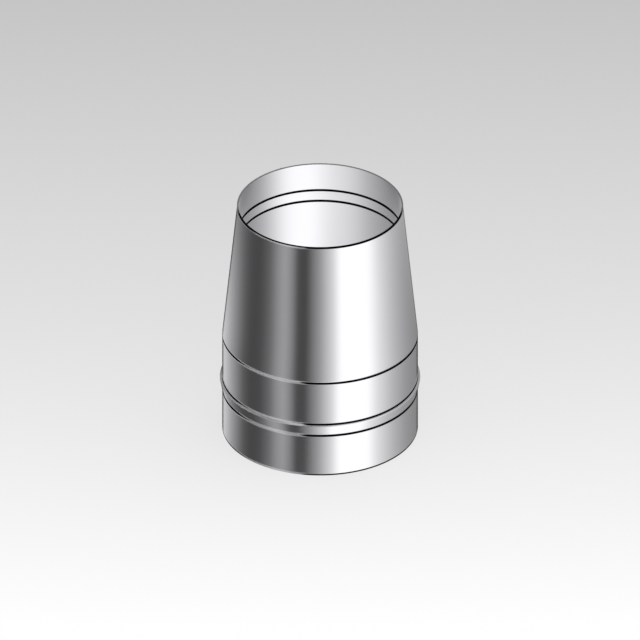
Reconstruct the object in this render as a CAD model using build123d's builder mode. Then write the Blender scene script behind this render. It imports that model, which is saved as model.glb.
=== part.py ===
"""Tapered terminal for a twin-wall metal flue, made of thin stainless sheet.

Three rolled and welded sheets share one upright axis, Z, with the foot at z = 0:

    jacket       outer tube that stands on the foot, with a stop bead above its spigot
    cone         tapered shell, joggled into the top of the jacket, closing on the pipe's rim
    inner_pipe   straight flue pipe from the foot to the rim, with a sealing bead near the top

Every wall is one thickness of sheet. It is drawn as the line of its outer skin, offset
inwards by the sheet and revolved, so beads and bends keep their thickness.
"""

from build123d import *
import os

# Driving dimensions, in millimetres.
overall_height = 196.0
flue_bore = 125.0  # inside diameter of the pipe that carries the gases
wall_gap = 11.3  # clear space between the pipe and the jacket
jacket_height = 81.5  # foot to the top edge of the jacket
sheet = 0.6  # thickness of the stainless sheet

# Stop bead of the jacket and sealing bead of the pipe, rolled with the same tool. From
# its lower crease the bead ramps out slowly to its crown and ends in a steep shoulder.
bead_width = 10.0  # across its two creases, on the outer skin
bead_rise = 1.9  # how far the crown stands out of the wall
bead_shoulder = 0.5  # height of the shoulder
spigot_length = 35.0  # foot to the lower crease of the jacket's bead
rim_to_bead = 22.9  # rim to the upper crease of the pipe's bead

# Joint between the cone and the jacket: the cone steps in by one sheet and slips inside.
lap_depth = 12.0  # length of the cone's collar inside the jacket
joggle_height = 1.2  # height over which the cone steps in

# Rim: the cone's top edge is turned up against the pipe and fused to it.
edge_height = 2.0
fit_clearance = 0.05  # radial, where one sheet slips inside another

# Sizes that follow from the ones above.
pipe_radius = flue_bore / 2 + sheet
jacket_radius = pipe_radius + wall_gap + sheet
collar_radius = jacket_radius - sheet - fit_clearance
edge_radius = pipe_radius + fit_clearance + sheet
cone_foot = jacket_height + joggle_height
cone_top = overall_height - edge_height
pipe_bead_foot = overall_height - rim_to_bead - bead_width


def beaded_skin(radius, bead_foot, top):
    """Draws the outer skin of a straight tube from z = 0 to top, with one bead rolled out of it.

    radius is the tube's outer radius and bead_foot the height of the bead's lower crease.
    """
    bead_top = bead_foot + bead_width
    Polyline(
        (radius, 0),
        (radius, bead_foot),
        (radius + bead_rise, bead_top - bead_shoulder),
        (radius, bead_top),
        (radius, top),
    )


# Outer tube: spigot, stop bead and the plain band above it.
with BuildPart() as jacket:
    with BuildSketch(Plane.XZ) as jacket_wall:
        with BuildLine() as jacket_skin:
            beaded_skin(jacket_radius, spigot_length, jacket_height)
            offset(amount=sheet, side=Side.LEFT, kind=Kind.INTERSECTION)
        make_face()
    revolve(axis=Axis.Z)

# Tapered shell: collar inside the jacket, joggle, taper and the turned-up edge at the rim.
with BuildPart() as cone:
    with BuildSketch(Plane.XZ) as cone_wall:
        with BuildLine() as cone_skin:
            Polyline(
                (collar_radius, jacket_height - lap_depth),
                (collar_radius, jacket_height),
                (jacket_radius, cone_foot),
                (edge_radius, cone_top),
                (edge_radius, overall_height),
            )
            offset(amount=sheet, side=Side.LEFT, kind=Kind.INTERSECTION)
        make_face()
    revolve(axis=Axis.Z)

# Flue pipe: straight bore from foot to rim, with the sealing bead near the top.
with BuildPart() as inner_pipe:
    with BuildSketch(Plane.XZ) as pipe_wall:
        with BuildLine() as pipe_skin:
            beaded_skin(pipe_radius, pipe_bead_foot, overall_height)
            offset(amount=sheet, side=Side.LEFT, kind=Kind.INTERSECTION)
        make_face()
    revolve(axis=Axis.Z)

jacket.part.label = "jacket"
cone.part.label = "cone"
inner_pipe.part.label = "inner_pipe"

os.makedirs("parts", exist_ok=True)
export_step(jacket.part, "parts/jacket.step")
export_step(cone.part, "parts/cone.step")
export_step(inner_pipe.part, "parts/inner_pipe.step")
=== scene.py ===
"""Tapered terminal of a twin-wall flue in bright stainless sheet, dressed for rendering.

Three rolled sheets share the upright Z axis: the jacket with its stop bead, the cone, and
the straight pipe inside them. Each sheet is drawn as the line of its outer skin, spun once
round the axis and given its thickness. Sizes are in metres. A bearing is an angle round
the axis in degrees, 0 in front, towards -Y, and 90 at the right, towards +X.
"""

import logging
import math
from dataclasses import dataclass
from enum import Enum
from typing import Iterable, Optional, Sequence, Union

import bmesh
import bpy
from mathutils import Matrix


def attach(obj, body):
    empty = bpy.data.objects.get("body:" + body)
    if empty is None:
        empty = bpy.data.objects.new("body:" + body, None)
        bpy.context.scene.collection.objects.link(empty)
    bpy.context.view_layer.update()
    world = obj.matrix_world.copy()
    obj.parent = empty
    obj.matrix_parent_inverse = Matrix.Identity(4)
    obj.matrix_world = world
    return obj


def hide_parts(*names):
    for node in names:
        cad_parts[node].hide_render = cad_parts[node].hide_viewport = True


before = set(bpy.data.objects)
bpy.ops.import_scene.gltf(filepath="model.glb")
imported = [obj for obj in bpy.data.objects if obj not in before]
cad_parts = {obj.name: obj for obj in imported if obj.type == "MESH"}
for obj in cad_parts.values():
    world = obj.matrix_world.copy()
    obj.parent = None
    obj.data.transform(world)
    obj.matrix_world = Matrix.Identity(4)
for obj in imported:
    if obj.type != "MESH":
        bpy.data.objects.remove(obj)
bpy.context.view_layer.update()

LOG = logging.getLogger("flue_terminal")

MM = 0.001
TURN_STEPS = 256  # faces round a tube
MERGE_DISTANCE = 0.0005 * MM  # corners nearer than this become one
FOLD_ANGLE = math.radians(8)  # a fold turns by more than this, and is rounded
SHARP_ANGLE = math.radians(24)  # an edge that turns by more than this is shaded sharp

Colour = tuple[float, float, float]
Point = tuple[float, float, float]
Span = tuple[float, float]
Tones = tuple[tuple[float, float], ...]
Operand = Union["Value", float]
Paint = Union["Value", Colour, float]


class Side(Enum):
    """The side of the terminal that a weld lies on, as its angle in degrees from +X."""

    BACK = 90.0
    BACK_LEFT = 118.0
    FRONT = -90.0


# Shader maths


class Value:
    """A node socket that takes part in Python expressions."""

    def __init__(self, tree: "ShaderTree", socket: bpy.types.NodeSocket) -> None:
        """Wraps one output socket.

        Args:
            tree: the tree that the socket's node is in.
            socket: the output socket.
        """
        self.tree = tree
        self.socket = socket

    def _math(self, operation: str, *others: Operand) -> "Value":
        """Adds one Math node.

        Args:
            operation: the Math node's operation.
            others: further operands, as values or numbers.

        Returns:
            The node's result.
        """
        return self.tree.node("ShaderNodeMath", {"operation": operation}, [self, *others])

    def __add__(self, other: Operand) -> "Value":
        """Sum."""
        return self._math("ADD", other)

    __radd__ = __add__

    def __sub__(self, other: Operand) -> "Value":
        """Difference."""
        return self._math("SUBTRACT", other)

    def __rsub__(self, other: Operand) -> "Value":
        """Difference from a number."""
        return self.tree.node("ShaderNodeMath", {"operation": "SUBTRACT"}, [other, self])

    def __mul__(self, other: Operand) -> "Value":
        """Product."""
        return self._math("MULTIPLY", other)

    __rmul__ = __mul__

    def __truediv__(self, other: Operand) -> "Value":
        """Quotient."""
        return self._math("DIVIDE", other)

    def __abs__(self) -> "Value":
        """Size without its sign."""
        return self._math("ABSOLUTE")

    def clamped(self) -> "Value":
        """The value held between 0 and 1."""
        return self.tree.node(
            "ShaderNodeMath", {"operation": "ADD", "use_clamp": True}, [self, 0.0]
        )

    def at_least(self, other: Operand) -> "Value":
        """The larger of two values."""
        return self._math("MAXIMUM", other)

    def ramp(self, start: float, end: float) -> "Value":
        """0 before start, 1 past end and even between; end may be below start."""
        return ((self - start) / (end - start)).clamped()

    def plateau(self, start: float, top: float, last: float, end: float) -> "Value":
        """0 before start, 1 from top to last, 0 past end and even between."""
        return self.ramp(start, top) * self.ramp(end, last)

    def bearing(self, y: "Value") -> "Value":
        """The bearing of the place whose position along X is this value, and y along Y."""
        return self._math("ARCTAN2", 0.0 - y) * (180 / math.pi)

    def sine(self) -> "Value":
        """Sine of an angle in degrees."""
        return (self * (math.pi / 180))._math("SINE")


class ShaderTree:
    """Builds the node tree of one material or world."""

    def __init__(self, nodes: bpy.types.NodeTree) -> None:
        """Empties the tree.

        Args:
            nodes: the node tree to fill.
        """
        self.nodes = nodes
        nodes.nodes.clear()

    def node(
        self,
        kind: str,
        settings: Optional[dict] = None,
        inputs: Union[dict, Iterable] = (),
        output: int = 0,
    ) -> Value:
        """Adds a node, sets its options, then feeds its sockets.

        Args:
            kind: the node's type.
            settings: the node's options, set before its sockets; "stops" fills a ramp.
            inputs: a dict of sockets by name, or a sequence by place.
            output: which output to return.

        Returns:
            The chosen output.
        """
        made = self.nodes.nodes.new(kind)
        for name, value in (settings or {}).items():
            if name == "stops":
                self._fill_ramp(made.color_ramp, value)
            else:
                setattr(made, name, value)
        pairs = inputs.items() if isinstance(inputs, dict) else enumerate(inputs)
        for place, value in pairs:
            if isinstance(value, Value):
                self.nodes.links.new(value.socket, made.inputs[place])
            else:
                made.inputs[place].default_value = value
        return Value(self, made.outputs[output] if made.outputs else None)

    @staticmethod
    def _fill_ramp(ramp: bpy.types.ColorRamp, stops: Sequence[tuple[float, float]]) -> None:
        """Sets a ramp's stops.

        Args:
            ramp: the ramp.
            stops: pairs of a place from 0 to 1 and a grey, in order.
        """
        ramp.interpolation = "LINEAR"
        while len(ramp.elements) < len(stops):
            ramp.elements.new(0.5)
        for element, (place, grey) in zip(ramp.elements, stops):
            element.position = place
            element.color = (grey, grey, grey, 1.0)

    @staticmethod
    def _opaque(paint: Paint) -> Union[Value, tuple[float, ...]]:
        """Gives a colour or a grey its alpha.

        Args:
            paint: a colour, a grey or a value.

        Returns:
            The opaque colour; a value stays as it is.
        """
        if isinstance(paint, Value):
            return paint
        return (paint, paint, paint, 1.0) if isinstance(paint, float) else (*paint, 1.0)

    def mix_colour(self, factor: Operand, first: Paint, second: Paint) -> Value:
        """Blends two colours.

        Args:
            factor: 0 gives the first, 1 the second.
            first: a colour, a grey or a value.
            second: a colour, a grey or a value.

        Returns:
            The blended colour.
        """
        inputs = {0: factor, 6: self._opaque(first), 7: self._opaque(second)}
        return self.node("ShaderNodeMix", {"data_type": "RGBA"}, inputs, 2)

    def position(self) -> tuple[Value, Value, Value]:
        """Adds the object coordinates.

        Returns:
            The position along X, Y and Z.
        """
        point = self.node("ShaderNodeTexCoord", output=3)
        split = self.node("ShaderNodeSeparateXYZ", inputs=[point])
        outputs = split.socket.node.outputs
        return tuple(Value(self, outputs[axis]) for axis in range(3))

    def vector(self, x: Operand, y: Operand, z: Operand) -> Value:
        """Joins three values into a vector."""
        return self.node("ShaderNodeCombineXYZ", inputs=[x, y, z])


# Makers of materials and objects


def new_material(name: str) -> tuple[bpy.types.Material, ShaderTree]:
    """Makes a material.

    Args:
        name: its name.

    Returns:
        The material and its empty node tree.
    """
    made = bpy.data.materials.new(name)
    made.use_nodes = True
    return made, ShaderTree(made.node_tree)


def new_object(name: str, data: bpy.types.ID) -> bpy.types.Object:
    """Adds an object to the scene, at the origin.

    Args:
        name: its name.
        data: the mesh or camera that it shows.

    Returns:
        The object.
    """
    made = bpy.data.objects.new(name, data)
    bpy.context.scene.collection.objects.link(made)
    return made


def mesh_object(name: str, mesh: bmesh.types.BMesh) -> bpy.types.Object:
    """Writes a mesh to a new object.

    Args:
        name: name of the object and of its mesh.
        mesh: the mesh to write; it is freed.

    Returns:
        The object.
    """
    data = bpy.data.meshes.new(name)
    mesh.to_mesh(data)
    mesh.free()
    return new_object(name, data)


# Finishes, with lines of painted shade and painted highlight


@dataclass(frozen=True)
class Line:
    """A fine line of painted shade round a sheet, in a bead's crease, at a joint or at a
    cut edge.

    Attributes:
        low: height of its lower edge.
        high: height of its upper edge.
        has_painted_highlight: whether it gives way to a painted highlight at the front
            left.
        flare: how much wider it is at the left and right, as a share of its width.
        fade: share of its darkness that it loses behind.
        lean: how much it drops towards +X, as a slope.
        lift: how much higher it lies at the left and right.
    """

    low: float
    high: float
    has_painted_highlight: bool = False
    flare: float = 0.0
    fade: float = 0.0
    lean: float = 0.0
    lift: float = 0.0

    def distance(self, x: Value, z: Value, sideways: Value) -> Value:
        """How far up or down a place on the sheet is from the line's middle.

        Args:
            x: the place's position along X.
            z: its height.
            sideways: 0 in front and behind, 1 at the left and right.

        Returns:
            The distance, without its sign.
        """
        away = z - (self.high + self.low) / 2
        if self.lean:
            away = away + x * self.lean
        if self.lift:
            away = away - sideways * self.lift
        return abs(away)

    def reach(self, sideways: Value, soft: float) -> Operand:
        """How far the line reaches from its middle.

        Args:
            sideways: 0 in front and behind, 1 at the left and right.
            soft: width over which the line fades.

        Returns:
            Half of its width and of that fading edge.
        """
        half = (self.high - self.low + soft) / 2
        return (sideways * self.flare + 1.0) * half if self.flare else half


@dataclass(frozen=True)
class StainlessSheet:
    """Bright rolled stainless sheet with a fine grain that runs round the tube.

    Attributes:
        name: the material's name.
        weld: side of the sheet's lengthwise weld, with heat tint beside it.
        lines: lines of painted shade in its creases, at its joint and at its edges.
        roughness: roughness of the bare metal.
        grain_roughness: how much the grain adds to it.
        painted_shade_roughness: how much a line of painted shade adds to it.
        tint: colour of the metal.
        tinge: colour that the metal goes towards along the grain and beside the weld.
        grain_tinge: how far it goes there along the grain.
        weld_tinge: how far it goes there beside the weld.
        heat: distances from the weld's middle at which its heat tint ends and is full.
        painted_highlight_tint: colour of the painted highlight, pale metal where a line
            gives way to it.
        painted_highlight_dullness: how dull the painted highlight is, where 0 is bare metal
            and 1 a line of painted shade.
        painted_shade_tint: colour of a line of painted shade.
        soft: width over which a line fades.
        halo: how far the painted highlight reaches past a line's edge.
        gap: bearings at which lines with a painted highlight thin out, are gone, return and
            are whole.
        painted_highlight_sector: bearings at which the painted highlight starts, is full,
            thins out and is gone.
        turning: bearings, to either side, over which a sheet turns to its back.
        grain_round: how often per metre the grain changes along its run.
        grain_up: how often per metre it changes across its run.
    """

    name: str
    weld: Side
    lines: tuple[Line, ...]
    roughness: float = 0.16
    grain_roughness: float = 0.04
    painted_shade_roughness: float = 0.4
    tint: Colour = (0.76, 0.76, 0.785)
    tinge: Colour = (0.70, 0.685, 0.66)
    grain_tinge: float = 0.10
    weld_tinge: float = 0.25
    heat: Span = (4.5 * MM, 1.0 * MM)
    painted_highlight_tint: Colour = (0.96, 0.96, 0.97)
    painted_highlight_dullness: float = 0.17
    painted_shade_tint: Colour = (0.003, 0.003, 0.004)
    soft: float = 0.2 * MM
    halo: float = 0.55 * MM
    gap: tuple[float, ...] = (-58.0, -42.0, -13.5, -7.5)
    painted_highlight_sector: tuple[float, ...] = (-100.0, -90.0, -11.5, -5.5)
    turning: Span = (78.0, 90.0)
    grain_round: float = 18.0
    grain_up: float = 1600.0

    def material(self) -> bpy.types.Material:
        """Builds the material.

        Returns:
            The new material.
        """
        made, tree = new_material(self.name)
        x, y, z = tree.position()
        grain = self._grain(tree, x, y, z)
        # dark is painted shade along the lines; pale is painted highlight where they give
        # way to it
        dark, pale = self._marks(x, y, z)
        tinged = grain * self.grain_tinge + self._weld_tint(x, y) * self.weld_tinge
        metal = tree.mix_colour(tinged, self.tint, self.tinge)
        # Painted highlight: pale metal laid where a line gives way to it
        metal = tree.mix_colour(pale, metal, self.painted_highlight_tint)
        dull = dark.at_least(pale * self.painted_highlight_dullness)
        roughness = dull * self.painted_shade_roughness + self.roughness
        shader = tree.node(
            "ShaderNodeBsdfPrincipled",
            inputs={
                # Painted shade: near-black lines laid over the metal
                "Base Color": tree.mix_colour(dark, metal, self.painted_shade_tint),
                "Metallic": 1.0 - dull,
                "Roughness": roughness + grain * self.grain_roughness,
                "Specular IOR Level": 0.0,
                "Anisotropic": 0.5,
                "Anisotropic Rotation": 0.25,
                "Normal": tree.node(
                    "ShaderNodeBump",
                    inputs={"Strength": 0.04, "Distance": 0.05 * MM, "Height": grain},
                ),
            },
        )
        tree.node("ShaderNodeOutputMaterial", inputs=[shader])
        return made

    def _grain(self, tree: ShaderTree, x: Value, y: Value, z: Value) -> Value:
        """Fine rolling lines that run round the sheet.

        Args:
            tree: the tree to add to.
            x: position along X.
            y: position along Y.
            z: height.

        Returns:
            A value round 0.5.
        """
        stretched = tree.vector(
            x * self.grain_round, y * self.grain_round, z * self.grain_up
        )
        return tree.node(
            "ShaderNodeTexNoise",
            {"noise_dimensions": "3D"},
            {"Vector": stretched, "Scale": 1.0, "Detail": 3.0, "Roughness": 0.6},
        )

    def _marks(self, x: Value, y: Value, z: Value) -> tuple[Value, Value]:
        """Where the lines of painted shade lie, and where they give way to a painted
        highlight.

        Args:
            x: position along X.
            y: position along Y.
            z: height.

        Returns:
            Two masks, the painted shade and the painted highlight under it.
        """
        bearing = x.bearing(y)
        whole = 1.0 - bearing.plateau(*self.gap)
        painted_highlight_sector = bearing.plateau(*self.painted_highlight_sector)
        behind = abs(bearing).ramp(*self.turning)
        sine_squared = x * x / (x * x + y * y)
        sideways = sine_squared * sine_squared
        dark = pale = z * 0.0  # no mark yet
        # Each line lays painted shade; one with a painted highlight thins out in the gap,
        # and pale metal is laid over it and its halo in the sector
        for line in self.lines:
            away = line.distance(x, z, sideways)
            reach = line.reach(sideways, self.soft)
            painted_shade_mask = whole * reach if line.has_painted_highlight else reach
            painted_shade_mask = ((painted_shade_mask - away) / self.soft).clamped()
            if line.fade:
                painted_shade_mask = painted_shade_mask * (1.0 - behind * line.fade)
            dark = dark.at_least(painted_shade_mask)
            if line.has_painted_highlight:
                # Painted highlight over the line and its halo
                painted_highlight_mask = ((reach + self.halo - away) / self.soft).clamped()
                pale = pale.at_least(painted_highlight_mask * painted_highlight_sector)
        return dark, pale

    def _weld_tint(self, x: Value, y: Value) -> Value:
        """Faint heat tint on both sides of the lengthwise weld.

        Args:
            x: position along X.
            y: position along Y.

        Returns:
            1 at the weld, fading to 0 some millimetres away.
        """
        angle = math.radians(self.weld.value)
        towards = x * math.cos(angle) + y * math.sin(angle)
        across = abs(y * math.cos(angle) - x * math.sin(angle))
        return across.ramp(*self.heat) * towards.ramp(0.0, MM)


@dataclass(frozen=True)
class WeldMetal:
    """Bright weld with fine ripples across its run.

    Attributes:
        name: the material's name.
        trough: colour between the ripples.
        crest: colour on the ripples.
        roughness: roughness between the ripples.
        crest_gloss: how much smoother it is on them.
    """

    name: str
    trough: Colour = (0.62, 0.60, 0.57)
    crest: Colour = (0.74, 0.73, 0.72)
    roughness: float = 0.34
    crest_gloss: float = 0.08

    def material(self) -> bpy.types.Material:
        """Builds the material.

        Returns:
            The new material.
        """
        made, tree = new_material(self.name)
        place = tree.vector(*tree.position())
        ripple = tree.node(
            "ShaderNodeTexWave",
            {"wave_type": "BANDS", "bands_direction": "Z", "wave_profile": "SIN"},
            {"Vector": place, "Scale": 500.0, "Distortion": 1.5, "Detail": 1.0},
            1,
        )
        shader = tree.node(
            "ShaderNodeBsdfPrincipled",
            inputs={
                "Base Color": tree.mix_colour(ripple, self.trough, self.crest),
                "Metallic": 1.0,
                "Roughness": self.roughness - ripple * self.crest_gloss,
                "Normal": tree.node(
                    "ShaderNodeBump",
                    inputs={"Strength": 0.5, "Distance": 0.06 * MM, "Height": ripple},
                ),
            },
        )
        tree.node("ShaderNodeOutputMaterial", inputs=[shader])
        return made


# Sheets


@dataclass(frozen=True)
class Bead:
    """A bead rolled out of a tube's wall: a long ramp that ends in a steep shoulder.

    Attributes:
        width: distance between its creases.
        rise: how far its crown stands out.
        shoulder: height of the shoulder.
    """

    width: float = 10 * MM
    rise: float = 1.9 * MM
    shoulder: float = 0.5 * MM


class SkinLine:
    """The outer skin of a sheet, drawn upwards in the XZ plane as one open line."""

    def __init__(self, radius: float, height: float) -> None:
        """Starts the line.

        Args:
            radius: distance from the axis.
            height: height above the foot.
        """
        self.mesh = bmesh.new()
        self.tip = self.mesh.verts.new((radius, 0.0, height))

    def line_to(self, radius: float, height: float) -> "SkinLine":
        """Draws a straight run.

        Args:
            radius: distance of its end from the axis.
            height: height of its end.

        Returns:
            The line itself.
        """
        made = bmesh.ops.extrude_vert_indiv(self.mesh, verts=[self.tip])
        self.tip = made["verts"][0]
        self.tip.co = (radius, 0.0, height)
        return self

    def bead(self, shape: Bead) -> "SkinLine":
        """Draws a bead that stands out of the wall.

        Args:
            shape: the bead's sizes.

        Returns:
            The line itself.
        """
        foot = self.tip.co.copy()
        self.line_to(foot.x + shape.rise, foot.z + shape.width - shape.shoulder)
        return self.line_to(foot.x, foot.z + shape.width)


@dataclass
class Sheet:
    """One rolled sheet of the terminal, with its lengthwise weld.

    Attributes:
        node: the solid that this sheet stands for.
        finish: its metal, which names the side of its weld.
        thickness: thickness of the sheet.
        bend: how much of a fold its rounding takes on each side.
        bend_segments: flats across a rounding.
        weld_width: width of the weld.
        weld_proud: how far the weld stands out of each face.
    """

    node: str
    finish: StainlessSheet
    thickness: float = 0.6 * MM
    bend: float = 0.5 * MM
    bend_segments: int = 3
    weld_width: float = 1.4 * MM
    weld_proud: float = 0.09 * MM

    def skin(self) -> SkinLine:
        """Draws the outer skin; each sheet has its own."""
        raise NotImplementedError

    def build(self) -> None:
        """Makes the sheet and its weld, and lets them ride on the terminal."""
        wall = self._shaded(self._wall(), self.node + "_sheet")
        wall.data.materials.append(self.finish.material())
        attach(wall, "root")
        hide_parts(self.node)
        seam = self._shaded(self._seam(), self.node + "_weld")
        seam.data.materials.append(WeldMetal(self.node + "_weld_metal").material())
        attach(seam, "root")
        for piece in (wall, seam):
            LOG.info("%s: %d faces", piece.name, len(piece.data.polygons))

    def _wall(self) -> bmesh.types.BMesh:
        """Spins the skin once round the axis and gives it its thickness.

        Returns:
            The closed wall.
        """
        mesh = self.skin().mesh
        bmesh.ops.spin(
            mesh,
            geom=mesh.verts[:] + mesh.edges[:],
            cent=(0.0, 0.0, 0.0),
            axis=(0.0, 0.0, 1.0),
            angle=2 * math.pi,
            steps=TURN_STEPS,
            use_merge=True,
        )
        bmesh.ops.remove_doubles(mesh, verts=mesh.verts, dist=MERGE_DISTANCE)
        self._thicken(mesh, self.thickness)
        return mesh

    def _seam(self) -> bmesh.types.BMesh:
        """Makes the lengthwise weld, a slim band through the wall.

        Returns:
            The weld.
        """
        mesh = self.skin().mesh
        edge = (self.weld_proud, -self.weld_width / 2, 0.0)
        bmesh.ops.translate(mesh, verts=mesh.verts, vec=edge)
        made = bmesh.ops.extrude_edge_only(mesh, edges=mesh.edges[:])
        moved = [v for v in made["geom"] if isinstance(v, bmesh.types.BMVert)]
        bmesh.ops.translate(mesh, verts=moved, vec=(0.0, self.weld_width, 0.0))
        self._thicken(mesh, self.thickness + 2 * self.weld_proud)
        turn = Matrix.Rotation(math.radians(self.finish.weld.value), 4, "Z")
        bmesh.ops.transform(mesh, matrix=turn, verts=mesh.verts)
        return mesh

    def _thicken(self, mesh: bmesh.types.BMesh, thickness: float) -> None:
        """Rounds the folds of an open skin and makes a closed wall of it.

        Args:
            mesh: the skin, which becomes the wall's outer face.
            thickness: thickness of the wall.
        """
        self._face_outwards(mesh)
        self._round_bends(mesh)
        bmesh.ops.solidify(mesh, geom=mesh.faces[:], thickness=thickness)
        bmesh.ops.recalc_face_normals(mesh, faces=mesh.faces)

    @staticmethod
    def _face_outwards(mesh: bmesh.types.BMesh) -> None:
        """Points an open skin's faces away from the axis.

        Args:
            mesh: the skin.
        """
        bmesh.ops.recalc_face_normals(mesh, faces=mesh.faces)
        mesh.faces.ensure_lookup_table()
        probe = mesh.faces[0]
        middle = probe.calc_center_median()
        if middle.x * probe.normal.x + middle.y * probe.normal.y < 0:
            bmesh.ops.reverse_faces(mesh, faces=mesh.faces)

    def _round_bends(self, mesh: bmesh.types.BMesh) -> None:
        """Rounds the folds of an open skin.

        Args:
            mesh: the skin.
        """
        folds = [
            edge
            for edge in mesh.edges
            if len(edge.link_faces) == 2 and edge.calc_face_angle() > FOLD_ANGLE
        ]
        bmesh.ops.bevel(
            mesh,
            geom=folds,
            offset=self.bend,
            offset_type="OFFSET",
            segments=self.bend_segments,
            profile=0.5,
            affect="EDGES",
            material=-1,
        )

    @staticmethod
    def _shaded(mesh: bmesh.types.BMesh, name: str) -> bpy.types.Object:
        """Writes a mesh to a new object, smooth apart from its sharp edges.

        Args:
            mesh: the mesh to write; it is freed.
            name: the object's name.

        Returns:
            The object.
        """
        for face in mesh.faces:
            face.smooth = True
        for edge in mesh.edges:
            edge.smooth = edge.calc_face_angle(0.0) < SHARP_ANGLE
        made = mesh_object(name, mesh)
        made.modifiers.new("even_shading", "WEIGHTED_NORMAL").keep_sharp = True
        return made


@dataclass
class Jacket(Sheet):
    """Outer tube with a stop bead above its spigot.

    Attributes:
        radius: its outer radius.
        height: its height.
        spigot: height of the bead's lower crease.
    """

    radius: float = 75 * MM
    height: float = 81.5 * MM
    spigot: float = 35 * MM

    def skin(self) -> SkinLine:
        """Spigot, bead and the plain band above it."""
        line = SkinLine(self.radius, 0.0).line_to(self.radius, self.spigot)
        return line.bead(Bead()).line_to(self.radius, self.height)


@dataclass
class Cone(Sheet):
    """Tapered shell with a joggled collar at its foot and a turned-up edge at the rim.

    Attributes:
        collar_radius: outer radius of the collar.
        collar_foot: height of the collar's lower edge.
        collar_top: height at which the collar joggles out.
        foot_radius: outer radius at the foot of the taper.
        foot: height of the taper's foot.
        edge_radius: outer radius of the turned-up edge.
        edge_foot: height at which the taper ends.
        top: height of the rim.
    """

    collar_radius: float = 74.35 * MM
    collar_foot: float = 69.5 * MM
    collar_top: float = 81.5 * MM
    foot_radius: float = 75 * MM
    foot: float = 82.7 * MM
    edge_radius: float = 63.75 * MM
    edge_foot: float = 194 * MM
    top: float = 196 * MM

    def skin(self) -> SkinLine:
        """Collar, joggle, taper and edge."""
        line = SkinLine(self.collar_radius, self.collar_foot)
        line.line_to(self.collar_radius, self.collar_top)
        line.line_to(self.foot_radius, self.foot)
        line.line_to(self.edge_radius, self.edge_foot)
        return line.line_to(self.edge_radius, self.top)


@dataclass
class InnerPipe(Sheet):
    """Straight flue pipe with a sealing bead near its top.

    Attributes:
        radius: its outer radius.
        top: height of the rim.
        bead_foot: height of the bead's lower crease.
    """

    radius: float = 63.1 * MM
    top: float = 196 * MM
    bead_foot: float = 163.1 * MM

    def skin(self) -> SkinLine:
        """Plain run, bead and the band up to the rim."""
        line = SkinLine(self.radius, 0.0).line_to(self.radius, self.bead_foot)
        return line.bead(Bead()).line_to(self.radius, self.top)


# Studio


@dataclass(frozen=True)
class LightSleeve:
    """An upright tube of soft light round the Z axis, which only reflections show.

    Attributes:
        name: its name.
        radius: its radius.
        low: height of its lower edge.
        high: height of its upper edge.
        tones: its light, as the bearing of the wall that mirrors it and the tone that the
            wall takes.
        metal_share: share of the light that the metal mirrors.
        strength: strength of the light, whose colour is divided by it so that it stays
            below 1.
    """

    name: str
    radius: float
    low: float
    high: float
    tones: Tones
    metal_share: float = 0.76
    strength: float = 2.0

    def place(self, bearing: float) -> float:
        """Where in the colour ramp a wall's bearing is; each sleeve has its own."""
        raise NotImplementedError

    def colour(self, tree: ShaderTree) -> Value:
        """The light's colour for its strength; each sleeve has its own."""
        raise NotImplementedError

    def tones_at(self, tree: ShaderTree, place: Value) -> Value:
        """Looks up the tones in a colour ramp.

        Args:
            tree: the tree to add to.
            place: where in the colour ramp to look.

        Returns:
            The light's colour for its strength.
        """
        scale = self.metal_share * self.strength
        stops = sorted((self.place(at), tone / scale) for at, tone in self.tones)
        return tree.node("ShaderNodeValToRGB", {"stops": stops}, [place])

    def build(self) -> None:
        """Adds the sleeve, bright on its inner face and clear on its outer one."""
        mesh = bmesh.new()
        bmesh.ops.create_cone(
            mesh,
            cap_ends=False,
            segments=TURN_STEPS,
            radius1=self.radius,
            radius2=self.radius,
            depth=self.high - self.low,
        )
        middle = (self.low + self.high) / 2
        bmesh.ops.translate(mesh, verts=mesh.verts, vec=(0.0, 0.0, middle))
        bmesh.ops.reverse_faces(mesh, faces=mesh.faces)
        made = mesh_object(self.name, mesh)
        material, tree = new_material(self.name)
        light = {"Color": self.colour(tree), "Strength": self.strength}
        glow = tree.node("ShaderNodeEmission", inputs=light)
        clear = tree.node("ShaderNodeBsdfTransparent")
        back = tree.node("ShaderNodeNewGeometry", output=6)
        both = tree.node("ShaderNodeMixShader", inputs=[back, glow, clear])
        tree.node("ShaderNodeOutputMaterial", inputs=[both])
        material.cycles.emission_sampling = "NONE"
        made.data.materials.append(material)
        made.visible_camera = False
        made.visible_diffuse = False
        made.visible_transmission = False
        made.visible_shadow = False


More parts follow.
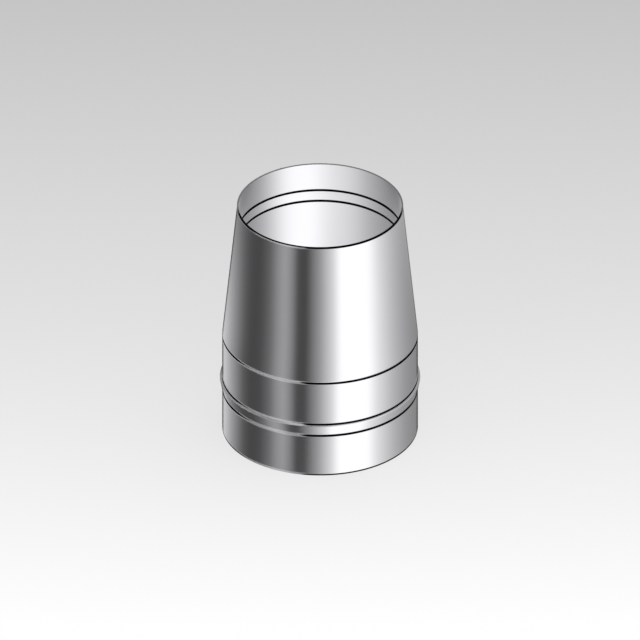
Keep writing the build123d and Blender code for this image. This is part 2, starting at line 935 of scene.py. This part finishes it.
@dataclass(frozen=True)
class BoreLight(LightSleeve):
    """Upright stripes of light in the bore.

    The tones' bearings are those of the wall in view, 0 at the back and higher towards +X.

    Attributes:
        turn: how many times further round a stripe lies than the wall that mirrors it,
            across the bore.
        dim: how much dimmer the light is for the left and right of the wall near the rim.
        dim_heights: heights at which that starts and is full.
        dim_bearings: the light's bearings, to either side, at which it starts and is full.
    """

    name: str = "bore_light"
    radius: float = 62.4 * MM
    low: float = 0.0
    high: float = 195.6 * MM
    tones: Tones = (
        (-60, 0.25),
        (-46, 0.38),
        (-36, 0.59),
        (-24, 1.0),
        (-6, 1.06),
        (6, 0.86),
        (24, 0.67),
        (36, 0.44),
        (60, 0.24),
    )
    turn: float = 3.0
    dim: float = 0.4
    dim_heights: Span = (150 * MM, 162 * MM)
    dim_bearings: Span = (115.0, 125.0)

    def place(self, bearing: float) -> float:
        """Where in the colour ramp a wall's bearing is."""
        return 0.5 - self.turn * bearing / 360

    def colour(self, tree: ShaderTree) -> Value:
        """Stripes that are dimmer near the rim.

        Args:
            tree: the tree to add to.

        Returns:
            The light's colour for its strength.
        """
        x, y, z = tree.position()
        bearing = x.bearing(y)
        stripes = self.tones_at(tree, bearing / 360.0 + 0.5)
        near_rim = z.ramp(*self.dim_heights)
        far_round = abs(bearing).ramp(*self.dim_bearings)
        return tree.mix_colour(near_rim * far_round * self.dim, stripes, 0.0)


@dataclass(frozen=True)
class TentLight(LightSleeve):
    """Upright bands of light round the terminal, from its left to its right.

    They are fitted to what each part of the wall mirrors: the jacket, the taper, which
    mirrors the light higher up, and the ramp of the bead, which mirrors it lower down.

    Attributes:
        drop: how much lower the light lies than the place on the taper that mirrors it.
        drop_round: how much lower still it lies to either side, per degree squared.
        joint: heights on the wall between which the jacket gives way to the taper.
        bead_top: heights of the light below which the wall gives way to the bead.
        turn: how many times further round the light lies than the jacket that mirrors it.
        taper_turn: how much less that is for the taper.
        bead_turn: how much more it is for the bead.
        taper_shift: how far the bands are moved to the right on the taper, in degrees.
        bead_shift: how far they are moved to the left on the bead, in degrees.
        taper: heights of the foot and the top of the taper.
        taper_slim: how much narrower the taper is at its top; the bands don't draw in.
        end: bearings of the jacket at which the light ends and is full, to either side.
        taper_end: how much further round that is on the taper, in degrees.
        end_tone: tone past its end.
    """

    name: str = "light_tent"
    radius: float = 0.6
    low: float = -1.6
    high: float = 1.6
    tones: Tones = (
        (-84, 0.58),
        (-66, 0.345),
        (-57, 0.19),
        (-52, 0.10),
        (-46, 0.058),
        (-38, 0.058),
        (-31, 0.125),
        (-26, 0.27),
        (-22, 0.34),
        (-18, 0.24),
        (-14, 0.06),
        (-9, 0.05),
        (-1, 0.29),
        (7, 0.66),
        (11, 1.02),
        (29, 1.02),
        (36, 0.71),
        (48, 0.445),
        (60, 0.30),
        (84, 0.205),
    )
    drop: float = 183.2 * MM
    drop_round: float = 0.00568 * MM
    joint: Span = (70 * MM, 85 * MM)
    bead_top: Span = (-355 * MM, -375 * MM)
    turn: float = 1.885
    taper_turn: float = 0.07
    bead_turn: float = 0.285
    taper_shift: float = 1.2
    bead_shift: float = 4.5
    taper: Span = (82.7 * MM, 196 * MM)
    taper_slim: float = 0.153
    end: Span = (83.5, 80.5)
    taper_end: float = 5.7
    end_tone: float = 0.01

    def place(self, bearing: float) -> float:
        """Where in the colour ramp a wall's bearing is."""
        return math.sin(math.radians(bearing)) / 2 + 0.5

    def colour(self, tree: ShaderTree) -> Value:
        """Bands that end near the outline of the wall.

        Args:
            tree: the tree to add to.

        Returns:
            The light's colour for its strength.
        """
        x, y, z = tree.position()
        bearing = x.bearing(y)
        height = z + self.drop + bearing * bearing * self.drop_round
        on_taper = height.ramp(*self.joint)
        on_bead = z.ramp(*self.bead_top)
        spot = bearing / (self.turn - on_taper * self.taper_turn + on_bead * self.bead_turn)
        spot = spot + on_bead * self.bead_shift - on_taper * self.taper_shift
        slim = 1.0 - height.ramp(*self.taper) * self.taper_slim
        bands = self.tones_at(tree, spot.sine() * slim * 0.5 + 0.5)
        inside = (abs(spot) - on_taper * self.taper_end).ramp(*self.end)
        return tree.mix_colour(inside, self.end_tone, bands)


@dataclass(frozen=True)
class Studio:
    """Floor, soft surrounding light and camera.

    Attributes:
        elevation: the camera's height above the horizon, in degrees.
        view_width: width of the view.
        aim: the point at the middle of the view.
        distance: the camera's distance from that point.
        floor_reach: how far the floor goes from its middle.
        floor_tones: tone of the floor in front, behind the terminal and at the back, as y
            and linear grey.
        floor_share: part of the floor's tone that stays out of the shadow.
        background: tone of the background behind the floor, which the metal mirrors too.
        surrounding: strength of the even light on matt surfaces.
    """

    elevation: float = 30.6
    view_width: float = 0.49056
    aim: Point = (-0.00004, 0.0, 0.0941)
    distance: float = 2.0
    floor_reach: float = 6.0
    floor_tones: Tones = ((-0.30, 1.0), (0.16, 0.76), (0.64, 0.56))
    floor_share: float = 0.8
    background: float = 0.82
    surrounding: float = 1.0

    def build(self) -> None:
        """Makes the floor, the light and the camera."""
        self._floor()
        BoreLight().build()
        TentLight().build()
        self._world()
        self._camera()
        bpy.context.scene.view_settings.view_transform = "Standard"

    def _floor(self) -> None:
        """Adds the floor, a plain grey that pales towards the front."""
        mesh = bmesh.new()
        bmesh.ops.create_grid(mesh, x_segments=1, y_segments=1, size=self.floor_reach)
        made = mesh_object("floor", mesh)
        material, tree = new_material("floor")
        y = tree.position()[1]
        start, end = self.floor_tones[0][0], self.floor_tones[-1][0]
        stops = [((at - start) / (end - start), tone) for at, tone in self.floor_tones]
        tone = tree.node("ShaderNodeValToRGB", {"stops": stops}, [y.ramp(start, end)])
        matt = tree.node("ShaderNodeBsdfDiffuse", inputs={"Color": tone})
        plain = tree.node("ShaderNodeEmission", inputs={"Color": tone})
        both = tree.node("ShaderNodeMixShader", inputs=[self.floor_share, matt, plain])
        tree.node("ShaderNodeOutputMaterial", inputs=[both])
        made.data.materials.append(material)
        made.visible_glossy = False

    def _world(self) -> None:
        """Sets an even surrounding light, and a pale background behind the floor."""
        world = bpy.data.worlds.new("studio")
        world.use_nodes = True
        bpy.context.scene.world = world
        tree = ShaderTree(world.node_tree)
        path = tree.node("ShaderNodeLightPath").socket.node.outputs
        soft = Value(tree, path["Is Diffuse Ray"])
        tone = tree.mix_colour(soft, self.background, self.surrounding)
        light = tree.node("ShaderNodeBackground", inputs={"Color": tone})
        tree.node("ShaderNodeOutputWorld", inputs=[light])
        world.cycles.sampling_method = "NONE"

    def _camera(self) -> None:
        """Adds the camera, which looks along +Y and down."""
        data = bpy.data.cameras.new("camera")
        data.type = "ORTHO"
        data.ortho_scale = self.view_width
        made = new_object("camera", data)
        tilt = math.radians(self.elevation)
        made.location = (
            self.aim[0],
            self.aim[1] - self.distance * math.cos(tilt),
            self.aim[2] + self.distance * math.sin(tilt),
        )
        made.rotation_euler = (math.pi / 2 - tilt, 0.0, 0.0)
        bpy.context.scene.camera = made


def main() -> None:
    logging.basicConfig(level=logging.INFO, format="%(message)s")
    jacket_steel = StainlessSheet(
        "jacket_steel",
        Side.BACK,
        # Lines of painted shade at the foot, the bead's creases and the joint, each giving
        # way to a painted highlight at the front left
        lines=(
            Line(-0.3 * MM, 1.25 * MM, has_painted_highlight=True),
            Line(34.2 * MM, 36.45 * MM, has_painted_highlight=True, flare=0.4),
            Line(44.75 * MM, 46.15 * MM, has_painted_highlight=True, flare=0.25, lift=0.42 * MM),
            Line(80.7 * MM, 82.5 * MM, has_painted_highlight=True, lean=0.0075),
        ),
    )
    cone_steel = StainlessSheet(
        "cone_steel",
        Side.BACK_LEFT,
        # Lines of painted shade at the joint and at the rim; the first two give way to a
        # painted highlight at the front left
        lines=(
            Line(81.0 * MM, 82.6 * MM, has_painted_highlight=True, flare=0.4, lean=0.0075),
            Line(194.7 * MM, 195.6 * MM, has_painted_highlight=True, fade=0.3),
            Line(195.4 * MM, 196.2 * MM, fade=0.3),
        ),
    )
    pipe_steel = StainlessSheet(
        "pipe_steel",
        Side.FRONT,
        # Lines of painted shade in the bead's creases and at the rim
        lines=(
            Line(162.3 * MM, 164.25 * MM),
            Line(170.85 * MM, 173.8 * MM, flare=0.7),
            Line(195.7 * MM, 196.2 * MM, fade=0.3),
        ),
        roughness=0.3,
    )
    Jacket("jacket", jacket_steel).build()
    Cone("cone", cone_steel).build()
    InnerPipe("inner_pipe", pipe_steel).build()
    Studio().build()


if __name__ == "__main__":
    main()
